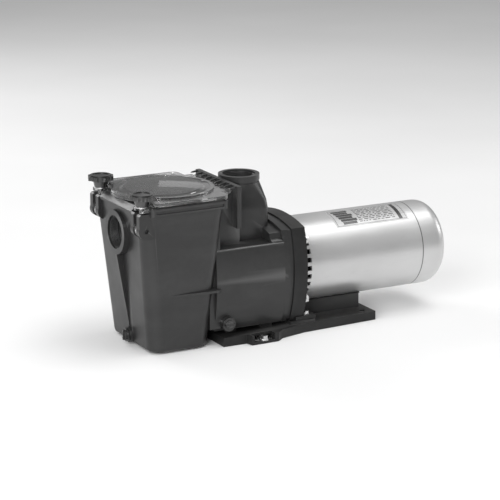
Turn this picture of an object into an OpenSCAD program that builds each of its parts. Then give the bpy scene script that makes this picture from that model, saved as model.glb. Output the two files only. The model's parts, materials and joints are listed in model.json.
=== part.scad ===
// Self-priming pool pump with a strainer pot, close-coupled electric motor and moulded base.
// Millimetres. +X runs along the shaft from the suction port to the motor, +Z is up, Z = 0 is the floor.

/* [Overall] */
// Overall length, from the front of the hand knobs to the end of the motor
overall_l = 638; // [636:1:642]
// Height of the shaft axis above the floor
shaft_h = 111; // [110:1:112]

/* [Strainer pot] */
// Distance from the suction face back to the pot axis
pot_from_face = 90; // [89:1:91]
// Width of the pot flange
flange_w = 212; // [210:1:214]
// Height of the pot flange top
flange_top = 258; // [257:1:260]
// Thickness of the pot flange
flange_t = 13; // [12:1:14]
// Height of the pot floor above the ground
pot_floor_z = 2; // [2:1:4]
// Wall thickness of the housing moulding
wall = 5; // [4.5:0.5:5.5]

/* [Ports] */
// Radius of the threaded sockets of both ports
port_r = 28.5; // [28:0.5:29]
// Radius of the boss round each port
port_boss_r = 38; // [37:1:39]
// Depth of the suction socket
suction_depth = 22; // [20:1:22]
// Depth of the discharge socket
discharge_depth = 26; // [24:1:28]
// Height of the suction port axis
suction_h = 200; // [199:1:201]
// Distance from the suction face back to the discharge axis
discharge_from_face = 237; // [236:1:238]
// Height of the discharge face
discharge_top = 277; // [276:1:280]

/* [Volute] */
// Half width of the volute box
box_half_w = 92; // [91:1:93]
// Height of the volute box top
box_top = 170; // [169:1:171]
// Height of the volute box bottom
box_bottom = 25; // [25:1:26]
// Radius of the impeller
impeller_r = 52; // [50:1:53]
// Number of impeller vanes
vane_n = 6; // [5:1:7]

/* [Cover] */
// Radius of the round window of the cover
window_r = 88; // [86:1:88]
// Thickness of the cover plate
cover_t = 6; // [5:0.5:6]
// Largest diameter of a hand knob
knob_d = 46; // [44:1:47]
// Diameter of the swing bolts
swing_bolt_d = 9.5; // [9:0.5:9.5]

/* [Motor] */
// Outside diameter of the motor shell
motor_d = 152; // [150:1:154]
// Wall of the motor shell
shell_t = 3; // [2.5:0.5:3]
// Number of vent slots round the drive end bell
vent_n = 32; // [28:2:34]
// Half width of the motor plate
plate_half_w = 93; // [92:1:94]
// Number of stator slots
slot_n = 24; // [18:2:24]

/* [Base] */
// Height of the base deck
base_h = 16; // [15:1:17]
// Distance between the mounting holes along the pump
mount_pitch_x = 100; // [90:1:104]
// Distance between the mounting holes across the pump
mount_pitch_y = 124; // [120:1:126]
// Radius of the mounting holes
mount_hole_r = 5; // [4.5:0.5:5.5]

/* [Hidden] */
$fn = 72;
eps = 0.5;

// Positions along X of the main axes and faces
pin_from_face = 13;
face_x = knob_d / 2 - pin_from_face - overall_l / 2;
pot_x = face_x + pot_from_face;
dis_x = face_x + discharge_from_face;
rear_x = overall_l / 2;
screw_head_h = 2.2;
cover_rear = rear_x - screw_head_h;
box_front = dis_x - 90;
flange_front = dis_x + 41;
flange_rear = dis_x + 53;
seal_plate_rear = dis_x + 60;
motor_face = dis_x + 86;
bell_rear = dis_x + 110;
shell_rear = dis_x + 333;

// Swing bolts stand on pins at the two front corners of the pot
pin_x = face_x + pin_from_face;
pin_y = 82;
pin_z = flange_top - 37;
pin_r = 4;
clevis_gap = 12;
ear_top = flange_top + 1;
flange_x0 = pin_x + 6;
flange_x1 = dis_x - 74;
cover_z = flange_top + 3;

// Cover tongue and the wall that holds it down
wall_x = dis_x - 44;
cover_pivot_x = wall_x - 7;
wall_half = 78;
wall_top = 273;

// Drain plugs
drain_front_x = face_x + 22;
drain_front_z = 17;
drain_side_x = dis_x - 68;
drain_side_y = box_half_w - 2;
drain_r = 7;
drain_side_z = box_bottom + wall + drain_r + 1;

// Housing bolts, motor screws and motor inside
bolt_y = 76;
bolt_dz = 53;
motor_r = motor_d / 2;
shell_in = motor_r - shell_t;
front_bearing_x = dis_x + 93;
rear_bearing_x = dis_x + 301;
bearing_w = 12;
bearing_r = 20;
bearing_bore = 8.5;
ball_r = 3.37;
ball_pitch_r = 14.25;
ball_n = 8;
diffuser_screw_r = 66.2;
stator_front = dis_x + 142;
stator_rear = dis_x + 238;
stator_bore = 40;
tie_r = 66;
tie_angles = [30 : 90 : 300];
cover_screw_y = 44;

// Screws that hold the housing and the motor plate on the base
front_screw_x = dis_x - 53;
front_screw_y = 40;
tab_screw_x = motor_face + 9;
tab_screw_y = 69;
foot_bolt_x = dis_x - 6;
foot_bolt_y = 103;

// Points of the axes that are used again and again
module on_shaft(x) translate([x, 0, shaft_h]) rotate([0, 90, 0]) children();
module along_x(x, y, z) translate([x, y, z]) rotate([0, 90, 0]) children();
module along_y(x, y, z) translate([x, y, z]) rotate([-90, 0, 0]) children();
module ring(h, ro, ri) {
    difference() {
        cylinder(h = h, r = ro);
        translate([0, 0, -eps]) cylinder(h = h + 2 * eps, r = ri);
    }
}
// Turned part round the shaft, from points [radius, x after the discharge axis]
module turned(points) on_shaft(dis_x) rotate_extrude() polygon(points);

module rounded_rect(w, d, r) {
    square([w - 2 * r, d], center = true);
    square([w, d - 2 * r], center = true);
    for (x = [-1, 1], y = [-1, 1])
        translate([x * (w / 2 - r), y * (d / 2 - r)]) circle(r = r);
}

// Section across the shaft with bowed sides and round corners, extruded along X
module bowed_block(x0, x1, half_w, z0, z1, r, bow = 300, arch = 3000) {
    translate([x0, 0, 0]) rotate([90, 0, 90]) linear_extrude(x1 - x0)
        intersection() {
            translate([0, (z0 + z1) / 2]) rounded_rect(2 * half_w, z1 - z0, r);
            translate([bow - half_w, shaft_h]) circle(r = bow, $fn = 180);
            translate([half_w - bow, shaft_h]) circle(r = bow, $fn = 180);
            translate([0, z1 - arch]) circle(r = arch, $fn = 360);
        }
}
// Outline that the flange, the seal plate and the motor plate share
module plate_block(x0, x1, inset, r = 26) {
    bowed_block(x0, x1, plate_half_w - inset, 21 + inset, 200 - inset, r, 230, 270);
}

// Hexagon head with washer face, standing on z = 0
module hex_head(across, h) {
    cylinder(h = h, r = across / sqrt(3), $fn = 6);
    cylinder(h = h * 0.25, r = across * 0.62);
}

// Drafted pot with round corners; inset shrinks it all round
module pot_form(inset, z0, z1) {
    draft_side = 15 / (flange_top - flange_t);
    draft_front = 23 / (flange_top - flange_t);
    draft_rear = 25 / (flange_top - flange_t);
    corner_r = 25;
    levels = [[z0, 5], [z0 + 3, 1], [z0 + 8, 0], [z1, 0]];
    hull() for (level = levels) {
        z = level[0];
        in = inset + level[1];
        x0 = face_x + 28 - draft_front * z + in;
        x1 = dis_x - 99 + draft_rear * z - in;
        half = 86 + draft_side * z - in;
        r = max(corner_r - in, 6);
        for (x = [x0 + r, x1 - r], y = [r - half, half - r])
            translate([x, y, z]) cylinder(h = 0.2, r = r, $fn = 64);
    }
}

module flange_outline() {
    translate([(flange_x0 + flange_x1) / 2, 0]) rounded_rect(flange_x1 - flange_x0, flange_w, 8);
    translate([(face_x + 2 + flange_x1) / 2, 0]) rounded_rect(flange_x1 - face_x - 2, 190, 6);
}
// Sunk panels in both side edges of the flange, and the slope of its front edge
module flange_cuts() {
    panel_d = 2.4;
    lip = 3.6;
    for (s = [0, 1]) mirror([0, s, 0])
        translate([flange_x0 + 9, flange_w / 2 - panel_d, flange_top - flange_t + lip])
            cube([flange_x1 - flange_x0 - 18, panel_d + 1, flange_t - 2 * lip]);
    translate([0, 100, 0]) rotate([90, 0, 0]) linear_extrude(200)
        polygon([[face_x - 5, flange_top - 16], [face_x + 16, flange_top + 5],
                 [face_x - 5, flange_top + 5]]);
}

// Cheeks of the swing bolt pocket at one front corner
module clevis_block() {
    lug_r = 14;
    translate([0, pin_y + 17, 0]) rotate([90, 0, 0]) linear_extrude(34) {
        translate([pin_x, pin_z]) circle(r = lug_r);
        translate([pin_x - lug_r + 1, pin_z]) square([30, ear_top - 9 - pin_z]);
        translate([pin_x, pin_z - lug_r]) square([16, lug_r + 10]);
    }
}

module clevis_cut() {
    cut_z = pin_z - 14;
    cut_h = ear_top - cut_z + 10;
    translate([face_x - 10, pin_y - clevis_gap / 2, cut_z]) cube([23, clevis_gap, cut_h]);
    along_y(pin_x, pin_y - clevis_gap / 2, pin_z) cylinder(h = clevis_gap, r = 12.5);
    translate([pin_x, pin_y - clevis_gap / 2, pin_z]) cube([12.5, clevis_gap, cut_h]);
    along_y(pin_x, pin_y - 13.2, pin_z) cylinder(h = 43.2, r = pin_r);
}

module pump_housing() {
    deck_open_r = 74;
    basket_ledge_r = 69;
    basket_ledge_z = flange_top - 12;
    chamber_r = 72;
    tower_top = 222;
    color([0.17, 0.17, 0.18]) difference() {
        union() {
            pot_form(0, pot_floor_z, flange_top - flange_t + 2);
            translate([0, 0, flange_top - flange_t]) linear_extrude(flange_t) flange_outline();
            housing_suction();
            bowed_block(box_front, flange_front + 1, box_half_w, box_bottom, box_top, 14);
            plate_block(dis_x + 19, flange_front + 1, 6);
            plate_block(flange_front, flange_rear, 1);
            housing_tower(tower_top);
            housing_ledge();
            housing_ribs();
        }
        difference() {
            pot_form(wall, pot_floor_z + wall, basket_ledge_z - 4);
            for (s = [0, 1]) mirror([0, s, 0]) translate([face_x, pin_y - 19, pin_z - 20])
                cube([31, 60, 80]);
            along_x(face_x, 0, suction_h) cylinder(h = suction_depth + 3, r = port_r + 4);
            along_x(face_x, 0, drain_front_z) cylinder(h = 34, r = 14);
        }
        // Round opening under the cover, with the ledge that the basket hangs on
        translate([pot_x, 0, basket_ledge_z]) cylinder(h = 30, r = deck_open_r);
        translate([pot_x, 0, basket_ledge_z - 10]) cylinder(h = 20, r = basket_ledge_r);
        // Lowered corners and recesses for the cover ears that reach the bolts
        for (s = [-1, 1]) {
            translate([face_x - 5, s * (pin_y + 7) - 27, ear_top - 9]) cube([24, 54, 30]);
            translate([face_x - 5, s * pin_y - 17.5, ear_top - 9]) cube([38.5, 35, 30]);
        }
        // Water chamber behind the pot, with its round opening for the seal plate
        bowed_block(dis_x - 76, flange_front - 6, box_half_w - wall, box_bottom + wall,
                    box_top - wall, 9);
        on_shaft(dis_x - 27) cylinder(h = flange_rear - dis_x + 27 + eps, r = chamber_r);
        on_shaft(dis_x - 110) cylinder(h = 60, r = 30);
        // Suction socket and passage
        along_x(face_x - eps, 0, suction_h) cylinder(h = suction_depth + eps, r = port_r);
        along_x(face_x, 0, suction_h) cylinder(h = 40, r = port_r - 3);
        // Discharge socket and passage
        translate([dis_x, 0, shaft_h + 40]) cylinder(h = 160, r = port_r - 3);
        translate([dis_x, 0, discharge_top - discharge_depth])
            cylinder(h = discharge_depth + eps, r = port_r);
        for (s = [0, 1]) mirror([0, s, 0]) clevis_cut();
        flange_cuts();
        housing_holes();
    }
}

module housing_suction() {
    web_t = 6;
    web_z = suction_h - 20;
    along_x(face_x, 0, suction_h) cylinder(h = 24, r = port_boss_r);
    // Upright web under the port, which runs out towards the drain
    translate([0, web_t / 2, 0]) rotate([90, 0, 0]) linear_extrude(web_t)
        polygon([[face_x + 1, web_z], [face_x + 1, web_z - 14], [face_x + 23, drain_front_z + 21],
                 [face_x + 23, drain_front_z + 4], [face_x + 50, drain_front_z + 4],
                 [face_x + 30, web_z]]);
    along_x(drain_front_x, 0, drain_front_z) cylinder(h = 30, r = 14);
    for (s = [0, 1]) mirror([0, s, 0]) clevis_block();
}

module housing_tower(tower_top) {
    half_x = 35;
    half_y = 50;
    boss_r = 34;
    collar_z = discharge_top - 10;
    translate([dis_x, 0, box_top - 20]) linear_extrude(tower_top - box_top + 20)
        rounded_rect(2 * half_x, 2 * half_y, 12);
    hull() {
        translate([dis_x, 0, tower_top - 1]) for (x = [-1, 1], y = [-1, 1])
            translate([x * (half_x - 12), y * (half_y - 12), 0]) cylinder(h = 1, r = 12, $fn = 32);
        translate([dis_x, 0, tower_top + 13]) for (x = [-1, 1], y = [-1, 1])
            translate([x * (half_x - 13), y * (half_y - 16), 0]) cylinder(h = 1, r = 12, $fn = 32);
        translate([dis_x, 0, collar_z - 4]) cylinder(h = 1, r = boss_r + 1, $fn = 48);
    }
    translate([dis_x, 0, tower_top]) cylinder(h = discharge_top - tower_top, r = boss_r);
    translate([dis_x, 0, collar_z]) cylinder(h = 10, r = boss_r + 2);
}

module housing_ledge() {
    finger_n = 9;
    pitch = 2 * (wall_half - 6) / (finger_n - 1);
    // Bridge from the pot to the tower, and the wall on it
    translate([dis_x - 90, -60, 150]) cube([60, 120, 72]);
    translate([dis_x - 84, -60, 200]) cube([44, 120, flange_top - 200]);
    translate([wall_x, -wall_half, 200]) cube([8, 2 * wall_half, wall_top - 200]);
    for (i = [0 : finger_n - 1]) translate([0, i * pitch - wall_half + 6 + 1.5, 0])
        rotate([90, 0, 0]) linear_extrude(3)
            polygon([[wall_x + 1, cover_z + cover_t + 2], [wall_x - 13, cover_z + cover_t + 2],
                     [wall_x - 10, cover_z + cover_t + 4], [wall_x + 1, wall_top]]);
}

module housing_ribs() {
    for (s = [0, 1]) mirror([0, s, 0]) {
        // Stiffening rib from the pot to the volute box
        translate([0, 0, shaft_h - 12]) linear_extrude(4)
            polygon([[dis_x - 184, 84], [dis_x - 184, 91.5], [dis_x - 104, 99.5],
                     [dis_x - 90, 99.5], [dis_x - 80, 90], [dis_x - 80, 84]]);
        // Webs that close the crease between pot and box
        translate([dis_x - 100, 40, 30]) cube([20, 44, flange_top - 45]);
    }
    along_y(drain_side_x, -drain_side_y, drain_side_z) cylinder(h = 20, r = 12.5);
    // Bosses for the screws that come up through the base
    for (s = [-1, 1]) translate([front_screw_x, s * front_screw_y, box_bottom])
        cylinder(h = 18, r = 9);
    for (s = [-1, 1], t = [-1, 1]) along_x(dis_x + 20, s * bolt_y, shaft_h + t * bolt_dz)
        cylinder(h = 25, r = 10);
}

module housing_holes() {
    along_x(face_x, 0, drain_front_z) cylinder(h = 60, r = drain_r);
    along_y(drain_side_x, -drain_side_y - 5, drain_side_z) cylinder(h = 40, r = drain_r);
    for (s = [-1, 1], t = [-1, 1]) along_x(dis_x + 26, s * bolt_y, shaft_h + t * bolt_dz)
        cylinder(h = 40, r = 4);
    for (s = [-1, 1]) translate([front_screw_x, s * front_screw_y, 20]) cylinder(h = 17, r = 3.5);
    // Groove of the housing gasket
    on_shaft(flange_rear - 2) ring(4, 80, 76);
}

module strainer_cover() {
    ear_x0 = pin_x - 8;
    ear_x1 = face_x + 32.5;
    riser_t = 5.5;
    ear_w = 32;
    rim_r = window_r - 7;
    color([0.30, 0.31, 0.32]) difference() {
        union() {
            translate([0, 0, cover_z]) linear_extrude(cover_t) difference() {
                union() {
                    translate([pot_x, 0]) circle(r = window_r);
                    translate([pot_x + 7, 0]) rounded_rect(140, 208, 14);
                    translate([pot_x + 60, 0]) rounded_rect(76, 140, 10);
                    translate([wall_x - 40, -64]) square([cover_pivot_x - wall_x + 40, 128]);
                }
                for (y = [-1, 1]) translate([face_x - 20, y * pin_y - 27]) square([40, 54]);
            }
            // Round rear edge that the cover tilts on
            along_y(cover_pivot_x, -64, cover_z + cover_t / 2) cylinder(h = 128, r = cover_t / 2);
            // Raised rim and shallow dome of the window
            translate([pot_x, 0, cover_z]) rotate_extrude() window_section(rim_r);
            // Spigot that centres the cover in the pot
            translate([pot_x, 0, cover_z - 9]) ring(10, 72, 67);
            // Ears that the swing bolts hold down
            for (y = [-1, 1]) {
                translate([ear_x0, y * pin_y - ear_w / 2, ear_top - 7])
                    cube([ear_x1 - ear_x0, ear_w, 7]);
                translate([ear_x1 - riser_t, y * pin_y - ear_w / 2, ear_top - 7])
                    cube([riser_t, ear_w, cover_z + cover_t - ear_top + 7]);
            }
        }
        translate([pot_x, 0, cover_z - 10]) cylinder(h = 10 + 1, r = 67);
        translate([pot_x, 0, cover_z - eps]) ring(2 + eps, 81.6, 76.4);
        for (y = [-1, 1]) {
            translate([face_x - 5, y * pin_y - 5.5, ear_top - 12]) cube([18, 11, 30]);
            translate([pin_x, y * pin_y, ear_top - 12]) cylinder(h = 30, r = 5.5);
            // Relief that lets the washer swing off the fork
            translate([face_x - 5, y * pin_y - 20, ear_top - 1.6]) cube([18, 40, 10]);
        }
    }
}

module window_section(rim_r) {
    dome_r = 700;
    intersection() {
        square([rim_r + 7, 40]);
        union() {
            translate([rim_r, 0]) square([7, cover_t + 3]);
            difference() {
                translate([0, cover_t + 7 - dome_r]) circle(r = dome_r, $fn = 360);
                translate([0, cover_t + 3 - dome_r]) circle(r = dome_r, $fn = 360);
                translate([-800, -800]) square([800, 1600]);
            }
        }
    }
}

module cover_o_ring() {
    cord_r = 2.4;
    color([0.08, 0.08, 0.08]) translate([pot_x, 0, flange_top + 0.1 + cord_r])
        rotate_extrude($fn = 120) translate([79, 0]) circle(r = cord_r, $fn = 24);
}

module strainer_basket() {
    rim_z = flange_top - 8;
    floor_z = 60;
    top_r = 62;
    floor_r = 48;
    skin = 2;
    rib_n = 24;
    row_n = 5;
    row_h = (rim_z - floor_z - 26) / row_n;
    color([0.55, 0.56, 0.58]) translate([pot_x, 0, 0]) difference() {
        union() {
            rotate_extrude() polygon([[0, floor_z], [floor_r, floor_z], [top_r, rim_z - 4],
                [73, rim_z - 4], [73, rim_z], [top_r - skin, rim_z], [floor_r - skin, floor_z + skin],
                [0, floor_z + skin]]);
            // Bail handle
            translate([-3, 3.5 - top_r, rim_z - 40]) cube([6, 2 * top_r - 7, 8]);
        }
        for (i = [0 : rib_n / 2 - 1], k = [0 : row_n - 1])
            rotate([0, 0, (i + 0.5) * 360 / rib_n])
                translate([-80, -4.5, floor_z + 12 + k * row_h]) cube([160, 9, row_h - 4]);
        // Opening that faces the suction port
        along_x(-90, 0, suction_h) cylinder(h = 60, r = port_r);
    }
}

module hinge_pins() {
    color("silver") for (s = [0, 1]) mirror([0, s, 0])
        along_y(pin_x, pin_y - 13, pin_z) cylinder(h = 26, r = pin_r - 0.05);
}

// Swing bolt, its washer, knob and insert, drawn for the side given by the sign of y
module swing_bolt(y) {
    eye_r = 12;
    eye_w = 11;
    shank_top = flange_top + 21;
    color("silver") difference() {
        union() {
            along_y(pin_x, y * pin_y - eye_w / 2, pin_z) cylinder(h = eye_w, r = eye_r);
            translate([pin_x, y * pin_y, pin_z]) cylinder(h = shank_top - pin_z, d = swing_bolt_d);
        }
        along_y(pin_x, y * pin_y - 10, pin_z) cylinder(h = 20, r = pin_r + 0.03);
    }
}
module swing_bolt_left() swing_bolt(1);
module swing_bolt_right() swing_bolt(-1);

module knob_washer(y) {
    color("gainsboro") translate([pin_x, y * pin_y, ear_top]) ring(2, 12, swing_bolt_d / 2 + 0.3);
}
module knob_washer_left() knob_washer(1);
module knob_washer_right() knob_washer(-1);

module hand_knob(y) {
    hub_z = ear_top + 2;
    rim_z = flange_top + 15;
    top_z = flange_top + 24;
    lobe_n = 8;
    lobe_r = 5;
    color([0.13, 0.13, 0.14]) translate([pin_x, y * pin_y, 0]) difference() {
        union() {
            translate([0, 0, hub_z]) cylinder(h = rim_z - hub_z + 1, r1 = 11, r2 = 14);
            translate([0, 0, rim_z]) cylinder(h = top_z - rim_z - 1.5, r = knob_d / 2 - 2);
            translate([0, 0, rim_z + 1]) cylinder(h = top_z - rim_z - 1, r = knob_d / 2 - 5);
            for (i = [0 : lobe_n - 1]) rotate([0, 0, i * 360 / lobe_n])
                translate([knob_d / 2 - lobe_r, 0, rim_z]) cylinder(h = 7, r = lobe_r);
        }
        translate([0, 0, hub_z - eps]) cylinder(h = 19 + eps, r = 8);
        translate([0, 0, top_z - 1.2]) cylinder(h = 3, r = knob_d / 2 - 9);
    }
}
module hand_knob_left() hand_knob(1);
module hand_knob_right() hand_knob(-1);

module knob_insert(y) {
    color("goldenrod") translate([pin_x, y * pin_y, ear_top + 2]) ring(18, 8, swing_bolt_d / 2 + 0.08);
}
module knob_insert_left() knob_insert(1);
module knob_insert_right() knob_insert(-1);

// Drain plug along +Z from its seat: shank, flange and a wing to turn it by
module drain_plug() {
    shank_l = 14;
    translate([0, 0, -shank_l]) cylinder(h = shank_l + 2, r = drain_r - 0.1);
    translate([0, 0, 2]) cylinder(h = 3, r = 12);
    translate([0, 0, 5]) cylinder(h = 2, r = 8);
    translate([-9, -1.75, 4]) cube([18, 3.5, 6]);
}
module drain_gasket() ring(2, 11, drain_r + 0.3);
module at_front_drain() translate([drain_front_x, 0, drain_front_z]) rotate([0, -90, 0]) children();
module at_side_drain() translate([drain_side_x, -drain_side_y, drain_side_z]) rotate([90, 0, 0])
    children();
module drain_plug_front() color([0.2, 0.2, 0.21]) at_front_drain() drain_plug();
module drain_plug_side() color([0.2, 0.2, 0.21]) at_side_drain() drain_plug();
module drain_gasket_front() color([0.06, 0.06, 0.06]) at_front_drain() drain_gasket();
module drain_gasket_side() color([0.06, 0.06, 0.06]) at_side_drain() drain_gasket();

module housing_gasket() color([0.06, 0.06, 0.06]) on_shaft(flange_rear - 2) ring(2, 79.8, 76.2);

module diffuser() {
    snout_r = 29.7;
    shell_r = 62;
    shell_front = -14;
    color([0.75, 0.75, 0.76]) difference() {
        union() {
            turned([[25, -90], [snout_r, -90], [snout_r, -40], [shell_r - 6, shell_front],
                    [shell_r, shell_front + 6], [shell_r, 44], [shell_r - 4, 44],
                    [shell_r - 4, shell_front + 8], [31.2, shell_front + 8], [31.2, -8],
                    [25, -12]]);
            for (a = [30, 150, 270]) on_shaft(dis_x + 30) rotate([0, 0, a])
                translate([diffuser_screw_r, 0, 0]) cylinder(h = 14.8, r = 5);
        }
        turned([[28, -84], [31, -84], [31, -80], [28, -80]]);
        for (a = [30, 150, 270]) on_shaft(dis_x + 29) rotate([0, 0, a])
            translate([diffuser_screw_r, 0, 0]) cylinder(h = 18, r = 2);
        // Windows that let the water out into the volute
        for (a = [0 : 60 : 300]) on_shaft(dis_x + 4) rotate([0, 0, a])
            translate([shell_r - 10, -12, 0]) cube([20, 24, 22]);
    }
}
module diffuser_gasket() color([0.06, 0.06, 0.06]) turned([[28.05, -83.9], [29.9, -83.9],
    [29.9, -80.1], [28.05, -80.1]]);
module diffuser_screws() color("silver") for (a = [30, 150, 270]) on_shaft(dis_x + 26.8)
    rotate([0, 0, a]) translate([diffuser_screw_r, 0, 0]) {
        cylinder(h = 24, r = 1.9);
        cylinder(h = 3, r = 3.8);
    }

module impeller() {
    eye_r = 24;
    hub_r = 13;
    vane_arc_r = 34;
    color([0.16, 0.16, 0.17]) difference() {
        union() {
            // Back shroud, front shroud with its eye ring, and the hub
            turned([[6, 8], [hub_r, 8], [hub_r, 22], [impeller_r, 22], [impeller_r, 26], [23, 26],
                    [23, 35], [18.2, 35], [18.2, 28], [6, 28]]);
            turned([[eye_r, -6], [28, -6], [28, 3], [impeller_r, 8], [impeller_r, 11], [28, 6.5],
                    [eye_r, 4]]);
            intersection() {
                on_shaft(dis_x + 5) ring(18, impeller_r, 15);
                turned([[10, 7], [28, 5], [impeller_r, 9], [impeller_r, 23], [10, 23]]);
                for (i = [0 : vane_n - 1]) on_shaft(dis_x + 4) rotate([0, 0, i * 360 / vane_n])
                    translate([16, vane_arc_r - 2, 0]) difference() {
                        ring(19, vane_arc_r + 1.5, vane_arc_r - 1.5);
                        translate([-60, 0, -1]) cube([120, 60, 30]);
                        translate([-60, -60, -1]) cube([60, 120, 30]);
                    }
            }
        }
        on_shaft(dis_x + 5) cylinder(h = 30, r = 6.2);
    }
}
module impeller_ring() color([0.5, 0.5, 0.5]) turned([[28.3, -7.8], [31.1, -7.8], [31.1, -4],
    [28.3, -4]]);

module seal_seat_cup() color([0.07, 0.07, 0.07]) turned([[9, 28.1], [18, 28.1], [18, 34.5],
    [15.5, 34.5], [15.5, 30], [9, 30]]);
module seal_seat() color("white") turned([[9, 30.1], [15.4, 30.1], [15.4, 36], [9, 36]]);
module seal_carbon() color([0.2, 0.2, 0.2]) turned([[9.6, 36.2], [13.5, 36.2], [13.5, 38],
    [16, 38], [16, 41.5], [9.6, 41.5]]);
module seal_bellows() color([0.06, 0.06, 0.06]) turned([[9.5, 41.6], [12, 41.6], [12.4, 44],
    [11, 46], [12.4, 48], [11, 50], [12.4, 52], [12, 54.3], [9.5, 54.3]]);
module seal_cup() color("silver") turned([[10, 54.5], [17.5, 54.5], [17.5, 42], [19.4, 42],
    [19.4, 56], [10, 56]]);

// Coil of round wire swept along a helix
module seal_spring() {
    turns = 4;
    coil_r = 14.8;
    wire_r = 0.8;
    length = 10.5;
    ring_n = 80;
    side_n = 8;
    points = [for (i = [0 : ring_n], k = [0 : side_n - 1])
        let (a = 360 * turns * i / ring_n, b = 360 * k / side_n, r = coil_r + wire_r * cos(b))
        [r * cos(a), r * sin(a), length * i / ring_n + wire_r * sin(b)]];
    sides = [for (i = [0 : ring_n - 1], k = [0 : side_n - 1])
        let (a = i * side_n + k, b = i * side_n + (k + 1) % side_n)
        each [[a, a + side_n, b], [b, a + side_n, b + side_n]]];
    first = [for (k = [0 : side_n - 1]) k];
    last = [for (k = [0 : side_n - 1]) ring_n * side_n + side_n - 1 - k];
    color("silver") on_shaft(dis_x + 42.7)
        polyhedron(points = points, faces = concat(sides, [first], [last]));
}

module seal_plate() {
    hub_r = 26;
    color([0.15, 0.15, 0.16]) difference() {
        union() {
            plate_block(flange_rear, seal_plate_rear, 3);
            on_shaft(dis_x + 45) cylinder(h = 9, r = 71.5);
            on_shaft(dis_x + 40) cylinder(h = 20, r = hub_r);
        }
        turned([[0, 39], [19.5, 39], [19.5, 56.1], [10.2, 56.1], [10.2, 61], [0, 61]]);
        for (a = [30, 150, 270]) on_shaft(dis_x + 44.5) rotate([0, 0, a])
            translate([diffuser_screw_r, 0, 0]) cylinder(h = 7, r = 2);
        bolt_holes(flange_rear - 1, 10, 4.2);
    }
}

// The four holes that the housing bolts pass through
module bolt_holes(x, l, r) {
    for (s = [-1, 1], t = [-1, 1]) along_x(x, s * bolt_y, shaft_h + t * bolt_dz)
        cylinder(h = l, r = r);
}

module motor_plate() {
    x0 = seal_plate_rear;
    pilot_r = 55;
    rib_n = 12;
    color([0.14, 0.14, 0.15]) difference() {
        union() {
            difference() {
                plate_block(x0, motor_face, 0);
                plate_block(x0 + 6, motor_face + 1, 6, 20);
            }
            on_shaft(x0) ring(26, 76, pilot_r);
            intersection() {
                plate_block(x0, motor_face - 4, 1);
                for (i = [0 : rib_n - 1]) on_shaft(x0 + 2) rotate([0, 0, (i + 0.5) * 360 / rib_n])
                    translate([70, -1.75, 0]) cube([70, 3.5, 24]);
            }
            for (s = [-1, 1], t = [-1, 1]) along_x(x0, s * bolt_y, shaft_h + t * bolt_dz)
                cylinder(h = motor_face - x0, r = 10);
            // Foot tabs that stand on the base
            for (s = [-1, 1]) translate([x0 + 10, s * tab_screw_y - 11, 21]) cube([40, 22, 7]);
        }
        on_shaft(x0 - 1) cylinder(h = 40, r = 24);
        bolt_holes(x0 - 1, 40, 4.2);
        for (a = [45 : 90 : 315]) on_shaft(x0 - eps) rotate([0, 0, a]) translate([64, 0, 0]) {
            cylinder(h = 8 + eps, r = 8);
            cylinder(h = 40, r = 4.8);
        }
        for (s = [-1, 1]) translate([tab_screw_x, s * tab_screw_y, 15]) cylinder(h = 20, r = 4.2);
    }
}

module housing_bolts() {
    color("silver") for (s = [-1, 1], t = [-1, 1])
        along_x(dis_x + 30, s * bolt_y, shaft_h + t * bolt_dz) {
            cylinder(h = motor_face - dis_x - 30 + 1.6, r = 3.95);
            translate([0, 0, motor_face - dis_x - 30 + 1.6]) hex_head(13, 6.5);
        }
}
module housing_bolt_washers() {
    color("gainsboro") for (s = [-1, 1], t = [-1, 1])
        along_x(motor_face, s * bolt_y, shaft_h + t * bolt_dz) ring(1.6, 9, 4.2);
}
module motor_screws() {
    color("silver") for (a = [45 : 90 : 315]) on_shaft(seal_plate_rear + 1) rotate([0, 0, a])
        translate([64, 0, 0]) {
            cylinder(h = 35, r = 4.7);
            cylinder(h = 7, r = 7.6);
        }
}
module shaft_slinger() color([0.06, 0.06, 0.06]) turned([[8.1, 68], [13, 68], [20, 70], [20, 72],
    [13, 73], [8.1, 73]]);

module base_outline(inset) {
    polygon([[dis_x - 80 + inset, inset - 96], [dis_x - 36, inset - 97],
             [dis_x - 32, inset - 111], [dis_x + 20, inset - 110],
             [dis_x + 34, inset - 98], [dis_x + 84, inset - 86],
             [dis_x + 234 - inset, inset - 77], [dis_x + 234 - inset, 77 - inset],
             [dis_x + 84, 86 - inset], [dis_x + 34, 98 - inset],
             [dis_x + 20, 110 - inset], [dis_x - 32, 111 - inset],
             [dis_x - 36, 97 - inset], [dis_x - 80 + inset, 96 - inset]]);
}

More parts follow.
